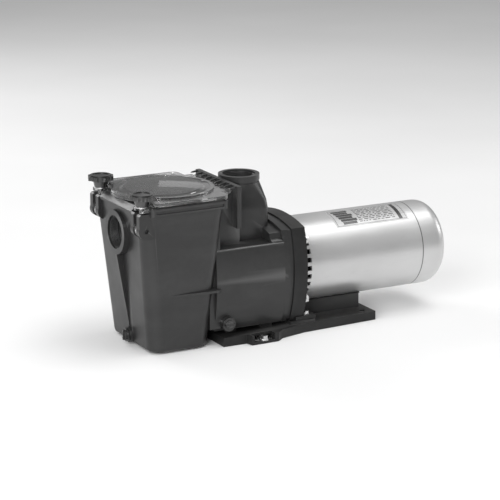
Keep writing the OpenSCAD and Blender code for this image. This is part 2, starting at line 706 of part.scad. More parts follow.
module support_base() {
    skin = 5;
    pad_x = dis_x + 156;
    pedestal_half_l = 62;
    color([0.10, 0.10, 0.11]) difference() {
        union() {
            difference() {
                linear_extrude(base_h) base_outline(0);
                translate([0, 0, -eps]) linear_extrude(base_h - skin + eps) base_outline(6);
            }
            // Ribs below the deck
            for (x = [dis_x - 45 : 35 : dis_x + 220]) translate([x, -74, 0])
                cube([4, 148, base_h - 2]);
            for (y = [-24, 0, 24]) translate([dis_x - 78, y - 2, 0]) cube([308, 4, base_h - 2]);
            mount_spots() cylinder(h = base_h - 1, r = 12);
            for (s = [-1, 1]) {
                translate([foot_bolt_x, s * foot_bolt_y, 0]) cylinder(h = 5, r = 8);
                translate([tab_screw_x, s * tab_screw_y, 0]) cylinder(h = 20, r = 9);
                // Blocks that carry the motor plate
                translate([dis_x + 58, s * tab_screw_y - 13, base_h - 1]) cube([50, 26, 22 - base_h]);
                // Gussets of the foot pads
                for (x = [dis_x - 32, dis_x + 12]) translate([x, 0, 0]) rotate([90, 0, 90])
                    linear_extrude(4) polygon([[s * 80, 4], [s * 109, 4], [s * 94, base_h],
                                               [s * 80, base_h]]);
            }
            translate([dis_x - 64, -70, base_h - 1]) cube([22, 140, box_bottom - base_h + 1]);
            translate([dis_x + 6, -70, base_h - 1]) cube([22, 140, box_bottom - base_h + 1]);
            for (s = [-1, 1]) translate([front_screw_x, s * front_screw_y, 8])
                cylinder(h = box_bottom - 8, r = 9);
            // Pedestal under the motor
            translate([pad_x - pedestal_half_l, -38, base_h - 1]) cube([2 * pedestal_half_l + 4, 76, 34]);
        }
        on_shaft(pad_x - 90) cylinder(h = 200, r = motor_r + 3);
        // Pads lowered for the hold-down bolts
        for (s = [-1, 1]) translate([dis_x - 28, s * 109 - 14, 5]) cube([40, 28, 30]);
        translate([pad_x - pedestal_half_l + 6, -32, -eps])
            cube([2 * pedestal_half_l - 8, 64, base_h + 10]);
        mount_spots() translate([0, 0, -1]) cylinder(h = 40, r = mount_hole_r);
        for (s = [-1, 1]) {
            translate([foot_bolt_x, s * foot_bolt_y, -1]) cylinder(h = 20, r = 4.2);
            translate([tab_screw_x, s * tab_screw_y, 6]) cylinder(h = 30, r = 3.5);
            translate([front_screw_x, s * front_screw_y, -1]) cylinder(h = 40, r = 3.5);
        }
    }
}
module mount_spots() {
    for (s = [-1, 1], t = [-1, 1])
        translate([dis_x + 165 + t * mount_pitch_x / 2, s * mount_pitch_y / 2, 0]) children();
}

module base_screws() {
    color("silver") for (s = [-1, 1]) {
        translate([tab_screw_x, s * tab_screw_y, 28]) base_screw(20);
        translate([front_screw_x, s * front_screw_y, 8]) mirror([0, 0, 1]) base_screw(28);
    }
}
// Hexagon screw whose head seats on z = 0, with its shank length
module base_screw(shank_l) {
    translate([0, 0, -shank_l]) cylinder(h = shank_l + 1, r = 3.4);
    hex_head(11, 6);
}
module foot_bolts() {
    color("silver") for (s = [-1, 1]) translate([foot_bolt_x, s * foot_bolt_y, 0]) {
        translate([0, 0, 0.5]) cylinder(h = 6, r = 4);
        translate([0, 0, 5]) cylinder(h = 1.5, r = 9);
        translate([0, 0, 6.5]) hex_head(13, 6.5);
    }
}
module motor_pad() {
    half_angle = 26;
    color([0.05, 0.05, 0.05]) on_shaft(dis_x + 90) rotate([0, 0, -half_angle])
        rotate_extrude(angle = 2 * half_angle) translate([motor_r + 0.05, 0]) square([2.9, 136]);
}

module motor_shell() {
    color([0.80, 0.81, 0.82]) difference() {
        on_shaft(bell_rear) ring(shell_rear - bell_rear, motor_r, shell_in);
        along_y(shell_rear - 16, 40, shaft_h) cylinder(h = 50, r = 14.5);
    }
}

module drive_end_bell() {
    slot_w = 8.5;
    color([0.78, 0.79, 0.80]) difference() {
        union() {
            difference() {
                union() {
                    on_shaft(motor_face) cylinder(h = 5, r = motor_r);
                    on_shaft(motor_face) ring(bell_rear - motor_face, motor_r, 71);
                    on_shaft(bell_rear - 1) ring(7, shell_in - 0.1, 69.5);
                }
                for (i = [0 : vent_n - 1]) on_shaft(motor_face + 6) rotate([0, 0, i * 360 / vent_n])
                    translate([66, -slot_w / 2, 0]) cube([14, slot_w, 12]);
            }
            on_shaft(motor_face - 4) cylinder(h = 20, r = 25);
            for (a = tie_angles) on_shaft(motor_face + 1) rotate([0, 0, a])
                translate([tie_r - 2, 0, 0]) cylinder(h = 24, r = 5);
            for (a = [45 : 90 : 315]) on_shaft(motor_face + 1) rotate([0, 0, a])
                translate([64, 0, 0]) cylinder(h = 13, r = 7.5);
        }
        on_shaft(front_bearing_x - 0.5) cylinder(h = 40, r = bearing_r);
        on_shaft(motor_face - 10) cylinder(h = 40, r = 13);
        for (a = tie_angles) on_shaft(motor_face + 4) rotate([0, 0, a])
            translate([tie_r, 0, 0]) cylinder(h = 40, r = 2.2);
        for (a = [45 : 90 : 315]) on_shaft(motor_face - 10) rotate([0, 0, a])
            translate([64, 0, 0]) cylinder(h = 22, r = 4.8);
    }
}

module rear_end_bell() {
    color([0.72, 0.72, 0.73]) difference() {
        union() {
            difference() {
                on_shaft(rear_bearing_x - 3) cylinder(h = 6, r = shell_in - 0.1);
                // Windows between the spokes
                for (a = [22.5 : 45 : 337.5]) on_shaft(rear_bearing_x - 8) rotate([0, 0, a])
                    translate([45, 0, 0]) cylinder(h = 20, r = 11);
            }
            on_shaft(rear_bearing_x - 3) ring(shell_rear - rear_bearing_x + 3, shell_in - 0.1, 69);
            on_shaft(rear_bearing_x - 3) cylinder(h = 18, r = 26);
            for (a = tie_angles) on_shaft(rear_bearing_x - 3) rotate([0, 0, a])
                translate([tie_r - 1, 0, 0]) cylinder(h = 12, r = 5.5);
            for (s = [-1, 1]) on_shaft(rear_bearing_x - 1) translate([0, s * cover_screw_y, 0])
                cylinder(h = 30, r = 6);
            along_y(shell_rear - 16, 62, shaft_h) cylinder(h = 11.5, r = 14);
        }
        on_shaft(rear_bearing_x - 4) cylinder(h = bearing_w + 4.5, r = bearing_r);
        on_shaft(rear_bearing_x - 10) cylinder(h = 60, r = 9.5);
        for (a = tie_angles) on_shaft(rear_bearing_x - 10) rotate([0, 0, a])
            translate([tie_r, 0, 0]) {
                cylinder(h = 40, r = 2.7);
                translate([0, 0, 18]) cylinder(h = 40, r = 5.4);
            }
        for (s = [-1, 1]) on_shaft(rear_bearing_x + 6) translate([0, s * cover_screw_y, 0])
            cylinder(h = 40, r = 2);
        along_y(shell_rear - 16, 50, shaft_h) cylinder(h = 40, r = 10.5);
    }
}

// Half section of the rear cover, from the axis outwards; inset gives the inside
module cover_section(inset) {
    length = cover_rear - shell_rear;
    corner_r = 26;
    r = motor_r - inset;
    square([r - corner_r, length - inset]);
    square([r, length - inset - corner_r]);
    translate([r - corner_r, length - inset - corner_r]) circle(r = corner_r);
}
module rear_cover() {
    skin = 1.8;
    color([0.80, 0.81, 0.82]) difference() {
        on_shaft(shell_rear) rotate_extrude() intersection() {
            cover_section(0);
            square([motor_r + 1, 80]);
        }
        on_shaft(shell_rear) translate([0, 0, -eps]) rotate_extrude() intersection() {
            cover_section(skin);
            square([motor_r + 1, 80]);
        }
        for (s = [-1, 1]) on_shaft(shell_rear) translate([0, s * cover_screw_y, 0]) cylinder(h = 80, r = 2.6);
    }
}
module rear_cover_screws() {
    shank_front = shell_rear - 20;
    color("silver") for (s = [-1, 1]) on_shaft(shank_front) translate([0, s * cover_screw_y, 0]) {
        cylinder(h = cover_rear - shank_front + 1, r = 2);
        translate([0, 0, cover_rear - shank_front]) cylinder(h = screw_head_h, r = 4.5);
    }
}

module through_bolts() {
    color("silver") for (a = tie_angles) on_shaft(motor_face + 12) rotate([0, 0, a])
        translate([tie_r, 0, 0]) {
            cylinder(h = rear_bearing_x + 12 - motor_face - 12, r = 2.1);
            translate([0, 0, rear_bearing_x + 8 - motor_face - 12]) hex_head(8, 4);
        }
}

module stator_core() {
    slot_l = 17;
    color([0.45, 0.46, 0.48]) difference() {
        on_shaft(stator_front) ring(stator_rear - stator_front, shell_in - 0.1, stator_bore);
        for (i = [0 : slot_n - 1]) on_shaft(stator_front - 1) rotate([0, 0, i * 360 / slot_n])
            translate([stator_bore - 2, -2.2, 0]) cube([slot_l + 2, 4.4, 120]);
        for (a = tie_angles) on_shaft(stator_front - 1) rotate([0, 0, a])
            translate([tie_r + 0.5, 0, 0]) cylinder(h = 120, r = 3);
    }
}
module stator_windings() {
    end_l = 19;
    color([0.62, 0.34, 0.16]) {
        for (x = [stator_front - end_l - 0.2, stator_rear + 0.2]) on_shaft(x)
            rotate_extrude() translate([45, 0]) rounded_profile(18, end_l, 6);
        for (i = [0 : slot_n - 1]) on_shaft(stator_front - 4) rotate([0, 0, i * 360 / slot_n])
            translate([46, -1.9, 0]) cube([10.5, 3.8, stator_rear - stator_front + 8]);
    }
}
// Rectangle with its corner at the origin and round corners
module rounded_profile(w, h, r) translate([w / 2, h / 2]) rounded_rect(w, h, r);

module rotor_core() {
    fin_n = 9;
    color([0.6, 0.61, 0.63]) {
        turned([[13, 134], [38, 134], [38, 139.5], [39.5, 140], [39.5, 240], [38, 240.5],
                [38, 246], [13, 246]]);
        for (i = [0 : fin_n - 1], x = [126, 245]) on_shaft(dis_x + x) rotate([0, 0, i * 360 / fin_n])
            translate([28, -1.5, 0]) cube([9, 3, 9]);
    }
}
module motor_shaft() {
    color([0.7, 0.71, 0.73]) turned([[0, 7], [6.15, 7], [6.15, 28.2], [8, 28.2], [8, 90],
        [8.45, 92], [8.45, 106], [11, 106], [11, 133], [12.95, 134], [12.95, 246], [11, 247],
        [11, 300.5], [8.45, 300.5], [8.45, 314], [6, 316], [6, 322], [0, 322]]);
}
module cooling_fan() {
    blade_n = 9;
    color([0.15, 0.15, 0.16]) {
        turned([[11.05, 108], [18, 108], [18, 114], [60, 114], [60, 116.5], [11.05, 116.5]]);
        for (i = [0 : blade_n - 1]) on_shaft(dis_x + 107) rotate([0, 0, i * 360 / blade_n])
            translate([30, -1.25, 0]) cube([28, 2.5, 8]);
    }
}

// Both bearings share one section each for rings and balls
module at_bearings() for (x = [front_bearing_x, rear_bearing_x]) on_shaft(x) children();
module race() rotate_extrude() translate([ball_pitch_r, bearing_w / 2]) circle(r = ball_r + 0.1);
module bearing_outer_rings() {
    color("silver") at_bearings() difference() {
        ring(bearing_w, bearing_r - 0.05, 16.6);
        race();
    }
}
module bearing_inner_rings() {
    color("silver") at_bearings() difference() {
        ring(bearing_w, 11.9, bearing_bore);
        race();
    }
}
module bearing_ball_sets() {
    color("gainsboro") at_bearings() {
        for (i = [0 : ball_n - 1]) rotate([0, 0, i * 360 / ball_n])
            translate([ball_pitch_r, 0, bearing_w / 2]) sphere(r = ball_r);
        translate([0, 0, bearing_w / 2 - 1]) ring(2, ball_pitch_r + 1.5, ball_pitch_r - 1.5);
    }
}
module wave_washer() color("silver") turned([[15, 313.2], [19.6, 313.2], [19.6, 313.45],
    [15, 313.45]]);

module capacitor() {
    length = 62;
    color([0.16, 0.17, 0.19]) along_y(shell_rear + 28, -length / 2, shaft_h + 36) {
        cylinder(h = length, r = 17);
        for (x = [-6, 6]) translate([x - 3, -0.5, length - 1]) cube([6, 1, 8]);
    }
}
module capacitor_clamp() {
    w = 14;
    color("silver") difference() {
        union() {
            along_y(shell_rear + 28, -w / 2, shaft_h + 36) cylinder(h = w, r = 18.6);
            translate([rear_bearing_x + 15, -w / 2, shaft_h + 14]) cube([1.5, w, 24]);
            translate([rear_bearing_x + 15, -w / 2, shaft_h + 33]) cube([30, w, 1.5]);
        }
        along_y(shell_rear + 28, -w, shaft_h + 36) cylinder(h = 2 * w, r = 17.05);
    }
}
module terminal_board() {
    board_x = shell_rear + 2;
    color([0.25, 0.17, 0.10]) translate([board_x, -26, shaft_h - 52]) cube([3, 52, 30]);
    color("gold") for (y = [-18 : 12 : 18], z = [-44, -32]) translate([board_x + 2.5, y - 3, shaft_h + z])
        cube([8, 6, 0.9]);
}
module thermal_overload() {
    color([0.12, 0.12, 0.12]) along_x(shell_rear + 2, 44, shaft_h - 30) {
        cylinder(h = 11, r = 12);
        translate([-2, -8, 10]) cube([4, 16, 3]);
    }
}

// Plate on the shell, from just beside the top down towards the -Y side
module nameplate() {
    x0 = dis_x + 170;
    length = 148;
    first_angle = 182;
    spread = 38;
    color([0.62, 0.63, 0.64]) on_shaft(x0) rotate([0, 0, first_angle]) rotate_extrude(angle = spread)
        translate([motor_r + 0.03, 0]) square([0.4, length]);
}
// Copper lug on the far side of the motor, for the equipotential wire
module bonding_lug() {
    lug_w = 10;
    lug_l = 14;
    lug_h = 12;
    color([0.72, 0.45, 0.2]) on_shaft(shell_rear - 40) rotate([0, 0, 60]) difference() {
        translate([motor_r - 1, -lug_w / 2, 0]) cube([lug_h, lug_w, lug_l]);
        translate([motor_r + 5, -lug_w, lug_l / 2]) rotate([-90, 0, 0]) cylinder(h = 2 * lug_w, r = 2.4);
        translate([0, 0, -1]) cylinder(h = lug_l + 2, r = motor_r + 0.05);
    }
}

pump_housing();
strainer_cover();
cover_o_ring();
strainer_basket();
hinge_pins();
swing_bolt_left();
swing_bolt_right();
knob_washer_left();
knob_washer_right();
hand_knob_left();
hand_knob_right();
knob_insert_left();
knob_insert_right();
drain_plug_front();
drain_plug_side();
drain_gasket_front();
drain_gasket_side();
housing_gasket();
diffuser();
diffuser_gasket();
diffuser_screws();
impeller();
impeller_ring();
seal_seat();
seal_seat_cup();
seal_carbon();
seal_bellows();
seal_spring();
seal_cup();
seal_plate();
motor_plate();
housing_bolts();
housing_bolt_washers();
motor_screws();
shaft_slinger();
support_base();
base_screws();
foot_bolts();
motor_pad();
motor_shell();
drive_end_bell();
rear_end_bell();
rear_cover();
rear_cover_screws();
through_bolts();
stator_core();
stator_windings();
rotor_core();
motor_shaft();
cooling_fan();
bearing_outer_rings();
bearing_inner_rings();
bearing_ball_sets();
wave_washer();
capacitor();
capacitor_clamp();
terminal_board();
thermal_overload();
nameplate();
bonding_lug();
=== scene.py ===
"""Looks of the pool pump: finishes, edge rounding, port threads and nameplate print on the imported
CAD frame, with a plain floor, soft studio light and the camera.

Metres, in the CAD frame: +X towards the motor, +Z up."""

import json
import math
import random

import bmesh
import bpy
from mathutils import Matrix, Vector


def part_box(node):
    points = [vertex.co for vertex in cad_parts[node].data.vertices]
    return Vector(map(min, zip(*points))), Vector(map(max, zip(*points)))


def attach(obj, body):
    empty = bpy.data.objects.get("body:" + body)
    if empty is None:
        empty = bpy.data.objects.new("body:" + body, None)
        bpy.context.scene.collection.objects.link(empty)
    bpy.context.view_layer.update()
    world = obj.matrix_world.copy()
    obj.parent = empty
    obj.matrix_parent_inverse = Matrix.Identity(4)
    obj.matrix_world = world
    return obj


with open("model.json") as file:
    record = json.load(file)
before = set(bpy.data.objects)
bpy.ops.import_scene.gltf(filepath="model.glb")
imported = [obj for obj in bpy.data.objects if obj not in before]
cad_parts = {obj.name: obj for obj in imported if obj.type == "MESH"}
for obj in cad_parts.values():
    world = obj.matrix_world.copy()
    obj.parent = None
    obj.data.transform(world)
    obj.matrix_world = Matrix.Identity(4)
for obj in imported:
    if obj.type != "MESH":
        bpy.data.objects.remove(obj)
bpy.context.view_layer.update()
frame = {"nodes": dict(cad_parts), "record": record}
NODES = frame["nodes"]
MOUNTS = {m["name"]: m for m in frame["record"]["mounts"]}

SHELL_LOW, SHELL_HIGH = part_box("motor_shell")
SHAFT_Z = (SHELL_LOW.z + SHELL_HIGH.z) / 2
SHELL_R = (SHELL_HIGH.z - SHELL_LOW.z) / 2
SEAM_X = SHELL_HIGH.x


# ---------------------------------------------------------------------------------------------
# Finishes
# ---------------------------------------------------------------------------------------------


class Finish:
    """One material, with short calls for its nodes. Patterns run on object coordinates, in metres."""

    def __init__(self, name, metallic=0.0, specular=0.5, coat=0.0, coat_roughness=0.1):
        self.material = bpy.data.materials.new(name)
        self.material.use_nodes = True
        self.tree = self.material.node_tree
        self.shader = self.tree.nodes["Principled BSDF"]
        self.shader.inputs["Metallic"].default_value = metallic
        self.shader.inputs["Specular IOR Level"].default_value = specular
        self.shader.inputs["Coat Weight"].default_value = coat
        self.shader.inputs["Coat Roughness"].default_value = coat_roughness
        self.place = self.add("TexCoord").outputs["Object"]
        self.bumps = None

    def add(self, kind, inputs=None, **settings):
        node = self.tree.nodes.new("ShaderNode" + kind)
        for key, value in settings.items():
            setattr(node, key, value)
        for key, value in (inputs or {}).items():
            if isinstance(value, bpy.types.NodeSocket):
                self.tree.links.new(value, node.inputs[key])
            else:
                node.inputs[key].default_value = value
        return node

    def noise(self, scale, detail=3.0, stretch=(1, 1, 1), distortion=0.0):
        """A field of blobs, scale per metre, from 0 to 1 round 0.5."""
        place = self.place
        if stretch != (1, 1, 1):
            place = self.add("Mapping", {"Vector": place, "Scale": stretch}).outputs["Vector"]
        node = self.add("TexNoise", {"Vector": place, "Scale": scale, "Detail": detail,
                                     "Distortion": distortion})
        return node.outputs["Fac"]

    def remap(self, value, low, high, to_low, to_high):
        node = self.add("MapRange", {"Value": value, "From Min": low, "From Max": high,
                                     "To Min": to_low, "To Max": to_high}, clamp=True)
        return node.outputs["Result"]

    def math(self, operation, a, b=0.0):
        return self.add("Math", {0: a, 1: b}, operation=operation).outputs[0]

    def blend(self, share, first, second):
        """first where share is 0 and second where it is 1; colours are sockets or RGB."""
        node = self.add("Mix", data_type="RGBA")
        for index, value in ((0, share), (6, first), (7, second)):
            if isinstance(value, bpy.types.NodeSocket):
                self.tree.links.new(value, node.inputs[index])
            elif index == 0:
                node.inputs[index].default_value = value
            else:
                node.inputs[index].default_value = (*value, 1)
        return node.outputs[2]

    def axis(self, name):
        return self.add("SeparateXYZ", {"Vector": self.place}).outputs[name]

    def facing(self, name):
        """How much the surface faces along X, Y or Z, from -1 to 1."""
        normal = self.add("NewGeometry").outputs["Normal"]
        return self.add("SeparateXYZ", {"Vector": normal}).outputs[name]

    def edges(self, low=0.57, high=0.68):
        """1 on outer edges, 0 on flats: where rubbed wear and a painted edge highlight go."""
        return self.remap(self.add("NewGeometry").outputs["Pointiness"], low, high, 0, 1)

    def bump(self, height, distance, strength=1.0):
        inputs = {"Height": height, "Distance": distance, "Strength": strength}
        if self.bumps is not None:
            inputs["Normal"] = self.bumps
        self.bumps = self.add("Bump", inputs).outputs["Normal"]

    def done(self, colour, roughness):
        """Joins everything to the shader and returns the material."""
        for key, value in (("Base Color", colour), ("Roughness", roughness)):
            if isinstance(value, bpy.types.NodeSocket):
                self.tree.links.new(value, self.shader.inputs[key])
            elif key == "Base Color":
                self.shader.inputs[key].default_value = (*value, 1)
            else:
                self.shader.inputs[key].default_value = value
        if self.bumps is not None:
            self.tree.links.new(self.bumps, self.shader.inputs["Normal"])
        return self.material


def grey(value, warm=0.0):
    return (value * (1 + warm), value, value * (1 - warm))


def moulded(name, dark, light, rough, dusty=0.0, coat=0.0, specular=0.42):
    """Injection-moulded plastic: fine grain, faint flow marks and edges lightened partly as rubbed wear and
    partly as a painted highlight, with dust on what faces up.
    """
    f = Finish(name, specular=specular, coat=coat, coat_roughness=0.22)
    flow = f.noise(9, 4, (1, 1, 2.5), 0.6)
    mottle = f.noise(95, 3)
    colour = f.blend(f.remap(flow, 0.35, 0.68, 0, 1), grey(dark), grey(light))
    colour = f.blend(f.remap(mottle, 0.42, 0.75, 0, 0.35), colour, grey(dark * 0.8))
    # Outer edges lightened: partly rubbed wear, partly a painted highlight along the edges
    colour = f.blend(f.math("MULTIPLY", f.edges(), 0.60), colour, grey(light * 4.0))
    if dusty:
        up = f.remap(f.facing("Z"), 0.55, 1.0, 0, dusty)
        patch = f.remap(f.noise(38, 5), 0.38, 0.7, 0.25, 1)
        colour = f.blend(f.math("MULTIPLY", up, patch), colour, grey(0.30, 0.05))
    roughness = f.remap(f.noise(26, 4), 0.3, 0.7, *rough)
    f.bump(f.noise(900, 2), 0.00012, 0.14)
    f.bump(f.noise(40, 2), 0.0005, 0.14)
    return f.done(colour, roughness)


def painted(name, dark, light, rough):
    """Silver motor paint: waves of the rolled sheet, flake, scuffs and a painted shade line along the seam to
    the rear cover.
    """
    f = Finish(name, metallic=0.72, coat=0.12, coat_roughness=0.25)
    cloud = f.noise(7, 4, (0.5, 1, 1))
    flake = f.noise(900, 1)
    scuff = f.noise(130, 4, (0.35, 1, 1), 0.4)
    colour = f.blend(f.remap(cloud, 0.35, 0.65, 0, 1), grey(dark), grey(light))
    colour = f.blend(f.remap(flake, 0.55, 0.75, 0, 0.12), colour, grey(light * 1.1))
    colour = f.blend(f.remap(scuff, 0.58, 0.82, 0, 0.16), colour, grey(dark * 0.8))
    # Painted shade: a dark line along the seam groove to the rear cover
    from_seam = f.math("ABSOLUTE", f.math("SUBTRACT", f.axis("X"), SEAM_X))
    colour = f.blend(f.remap(from_seam, 0.0006, 0.0013, 0.85, 0), colour, grey(0.05))
    roughness = f.remap(f.noise(60, 4, (0.3, 1, 1)), 0.3, 0.7, *rough)
    f.bump(f.noise(14, 1, (0.4, 1, 1)), 0.0004, 0.10)
    return f.done(colour, roughness)


def tinted(name, first, second, rough, stretch=(1, 1, 1)):
    """Turned or drawn metal with tool marks along one direction and dulled patches."""
    f = Finish(name, metallic=1.0)
    marks = f.noise(900, 3, stretch)
    tarnish = f.noise(120, 4)
    colour = f.blend(f.remap(marks, 0.3, 0.7, 0, 1), first, second)
    colour = f.blend(f.remap(tarnish, 0.55, 0.8, 0, 0.35), colour, tuple(c * 0.6 for c in first))
    roughness = f.remap(tarnish, 0.3, 0.75, *rough)
    f.bump(marks, 0.00006, 0.5)
    return f.done(colour, roughness)


def metal(name, dark, light, rough, stretch=(1, 1, 1)):
    return tinted(name, grey(dark), grey(light), rough, stretch)


def elastomer(name, shade=0.016):
    """Moulded rubber: matt, finely pitted, with a grey bloom."""
    f = Finish(name, specular=0.35)
    bloom = f.noise(60, 5)
    colour = f.blend(f.remap(bloom, 0.45, 0.75, 0, 0.6), grey(shade), grey(shade * 2.6))
    f.bump(f.noise(1300, 3), 0.00012, 0.6)
    return f.done(colour, f.remap(bloom, 0.3, 0.7, 0.62, 0.82))


def smoky(name):
    """See-through smoked cover: glossy outside, with faint moulding waves, rubbed streaks and haze."""
    f = Finish(name, specular=0.55)
    haze = f.noise(34, 4)
    rub = f.noise(160, 3, (1, 0.15, 1), 0.8)
    colour = f.blend(f.remap(haze, 0.35, 0.7, 0, 1), grey(0.50), grey(0.58))
    f.shader.inputs["Transmission Weight"].default_value = 0.95
    f.shader.inputs["IOR"].default_value = 1.49
    f.bump(f.noise(16, 1), 0.0009, 0.20)
    polish = f.remap(haze, 0.3, 0.75, 0.03, 0.08)
    return f.done(colour, f.math("ADD", polish, f.remap(rub, 0.62, 0.8, 0, 0.10)))


def laminated(name):
    """Edges of stacked steel sheets along the shaft."""
    f = Finish(name, metallic=0.85)
    wave = f.add("TexWave", {"Vector": f.place, "Scale": 320.0, "Distortion": 0.2},
                 wave_type="BANDS", bands_direction="X").outputs["Fac"]
    blotch = f.noise(160, 4)
    colour = f.blend(wave, grey(0.16), grey(0.34))
    colour = f.blend(f.remap(blotch, 0.5, 0.75, 0, 0.4), colour, grey(0.12, 0.25))
    f.bump(wave, 0.00012, 0.7)
    return f.done(colour, f.remap(blotch, 0.3, 0.7, 0.38, 0.55))


def wound(name):
    """Varnished copper strands round the winding heads."""
    f = Finish(name, metallic=0.75, coat=0.4, coat_roughness=0.2)
    strands = f.add("TexWave", {"Vector": f.place, "Scale": 150.0, "Distortion": 3.0, "Detail": 2.0},
                    wave_type="BANDS", bands_direction="X").outputs["Fac"]
    colour = f.blend(strands, (0.20, 0.07, 0.025), (0.62, 0.27, 0.11))
    f.bump(strands, 0.0004, 0.8)
    return f.done(colour, f.remap(f.noise(200), 0.3, 0.7, 0.25, 0.45))


def stone(name, low, high, rough):
    """Lapped ceramic or carbon."""
    f = Finish(name, coat=0.2)
    speck = f.noise(700, 4)
    f.bump(speck, 0.00003, 0.4)
    colour = f.blend(f.remap(speck, 0.35, 0.7, 0, 1), low, high)
    return f.done(colour, f.remap(f.noise(150), 0.3, 0.7, *rough))


def foil(name):
    """Satin label stock, with a rolled grain along the plate."""
    f = Finish(name, metallic=0.35, coat=0.15)
    grain = f.noise(500, 3, (0.08, 1, 1))
    wear = f.noise(48, 4)
    colour = f.blend(f.remap(grain, 0.3, 0.7, 0, 1), grey(0.40), grey(0.52))
    colour = f.blend(f.remap(wear, 0.58, 0.78, 0, 0.35), colour, grey(0.30))
    f.bump(grain, 0.00003, 0.5)
    return f.done(colour, f.remap(wear, 0.3, 0.7, 0.30, 0.46))


FINISH = {
    "body_plastic": moulded("charcoal_moulding", 0.016, 0.025, (0.31, 0.40), coat=0.05, specular=0.46),
    "base_plastic": moulded("black_base_moulding", 0.010, 0.016, (0.42, 0.56), 0.05, specular=0.34),
    "knob_plastic": moulded("black_knob_moulding", 0.012, 0.020, (0.20, 0.32), coat=0.3),
    "inner_plastic": moulded("black_inner_moulding", 0.020, 0.032, (0.36, 0.50)),
    "diffuser_plastic": moulded("grey_diffuser_moulding", 0.30, 0.38, (0.40, 0.52)),
    "basket_plastic": moulded("grey_basket_moulding", 0.30, 0.40, (0.36, 0.50)),
    "ring_plastic": moulded("wear_ring_moulding", 0.16, 0.22, (0.22, 0.32), coat=0.3),
    "cover_plastic": smoky("smoked_cover"),
    "black_rubber": elastomer("black_rubber"),
    "stainless": metal("stainless_steel", 0.52, 0.66, (0.20, 0.34), (1, 1, 0.08)),
    "brass": tinted("turned_brass", (0.60, 0.42, 0.17), (0.78, 0.58, 0.28), (0.24, 0.38), (1, 1, 3)),
    "seal_ceramic": stone("lapped_ceramic", (0.78, 0.77, 0.73), (0.88, 0.87, 0.84), (0.12, 0.2)),
    "seal_carbon": stone("lapped_carbon", (0.035, 0.035, 0.037), (0.07, 0.07, 0.072), (0.3, 0.42)),
    "motor_paint": painted("silver_motor_paint", 0.53, 0.63, (0.34, 0.42)),
    "end_bell_casting": metal("die_cast_aluminium", 0.48, 0.60, (0.42, 0.58)),
    "lamination_steel": laminated("steel_laminations"),
    "copper_wire": wound("varnished_copper"),
    "bearing_steel": metal("ground_steel", 0.55, 0.68, (0.12, 0.22), (0.1, 1, 1)),
    "capacitor_case": moulded("capacitor_case_moulding", 0.030, 0.045, (0.20, 0.30), coat=0.4),
    "board_phenolic": moulded("phenolic_board", 0.07, 0.10, (0.45, 0.6)),
    "overload_case": moulded("overload_moulding", 0.022, 0.035, (0.40, 0.55)),
    "plate_foil": foil("label_foil"),
    "copper_lug": tinted("bare_copper", (0.50, 0.22, 0.10), (0.66, 0.33, 0.17), (0.30, 0.45)),
}

# Stainless hinge pins drawn near black: painted shade of the clevis slots, hiding their bright ends
PIN_IN_PAINTED_SHADE = metal("pin_steel_painted_shade", 0.06, 0.11, (0.50, 0.62))

for row in frame["record"]["subparts"]:
    mesh = NODES[row["node"]].data
    mesh.materials.clear()
    mesh.materials.append(FINISH[row["material_slot"]])
    for face in mesh.polygons:
        face.material_index = 0
# Hinge pins take the painted shade steel
NODES["hinge_pins"].data.materials[0] = PIN_IN_PAINTED_SHADE


# ---------------------------------------------------------------------------------------------
# Rounded edges on the CAD nodes
# ---------------------------------------------------------------------------------------------

MERGE = 2e-6
FLAT_ANGLE = math.radians(0.6)
EDGE_ANGLE = math.radians(32)


def soften(node, width):
    """Welds the node's faces together, rounds its sharp edges and keeps the shading of flats flat."""
    o = NODES[node]
    o.data.polygons.foreach_set("use_smooth", [True] * len(o.data.polygons))
    weld = o.modifiers.new("weld", "WELD")
    weld.merge_threshold = MERGE
    flat = o.modifiers.new("flat_faces", "DECIMATE")
    flat.decimate_type = "DISSOLVE"
    flat.angle_limit = FLAT_ANGLE
    bevel = o.modifiers.new("rounded_edges", "BEVEL")
    bevel.width = width
    bevel.segments = 2
    bevel.limit_method = "ANGLE"
    bevel.angle_limit = EDGE_ANGLE
    bevel.use_clamp_overlap = True
    bevel.harden_normals = False
    shading = o.modifiers.new("weighted_normals", "WEIGHTED_NORMAL")
    shading.mode = "FACE_AREA"
    shading.weight = 50
    shading.keep_sharp = False


EDGE_WIDTHS = {
    "pump_housing": 0.0016, "strainer_cover": 0.0013, "motor_plate": 0.0008, "seal_plate": 0.0007,
    "support_base": 0.0010, "motor_shell": 0.0009, "drive_end_bell": 0.0005, "rear_cover": 0.0011,
    "hand_knob_left": 0.0011, "hand_knob_right": 0.0011,
    "drain_plug_front": 0.0006, "drain_plug_side": 0.0006,
    "housing_bolts": 0.0004, "housing_bolt_washers": 0.0002, "foot_bolts": 0.0004, "base_screws": 0.0004,
    "knob_washer_left": 0.0003, "knob_washer_right": 0.0003,
    "swing_bolt_left": 0.0005, "swing_bolt_right": 0.0005,
    "rear_cover_screws": 0.0004, "strainer_basket": 0.0004, "bonding_lug": 0.0004, "motor_pad": 0.0004,
}
for node, width in EDGE_WIDTHS.items():
    soften(node, width)


# ---------------------------------------------------------------------------------------------
# Pieces built here
# ---------------------------------------------------------------------------------------------


def place(mesh, finish, body):
    """Puts a mesh into the scene as a piece that rides on a body."""
    mesh.materials.append(FINISH[finish])
    o = bpy.data.objects.new(mesh.name, mesh)
    bpy.context.scene.collection.objects.link(o)
    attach(o, body)


THREAD_PITCH = 0.0022
THREAD_DEPTH = 0.0011
RINGS_PER_TURN = 72
FADE_RINGS = 30
END_CREST = 0.03
# Section of the ridge: place along the axis in pitches, and whether the point is on the crest
THREAD_SECTION = ((-0.42, 0), (-0.10, 1), (0.10, 1), (0.42, 0))


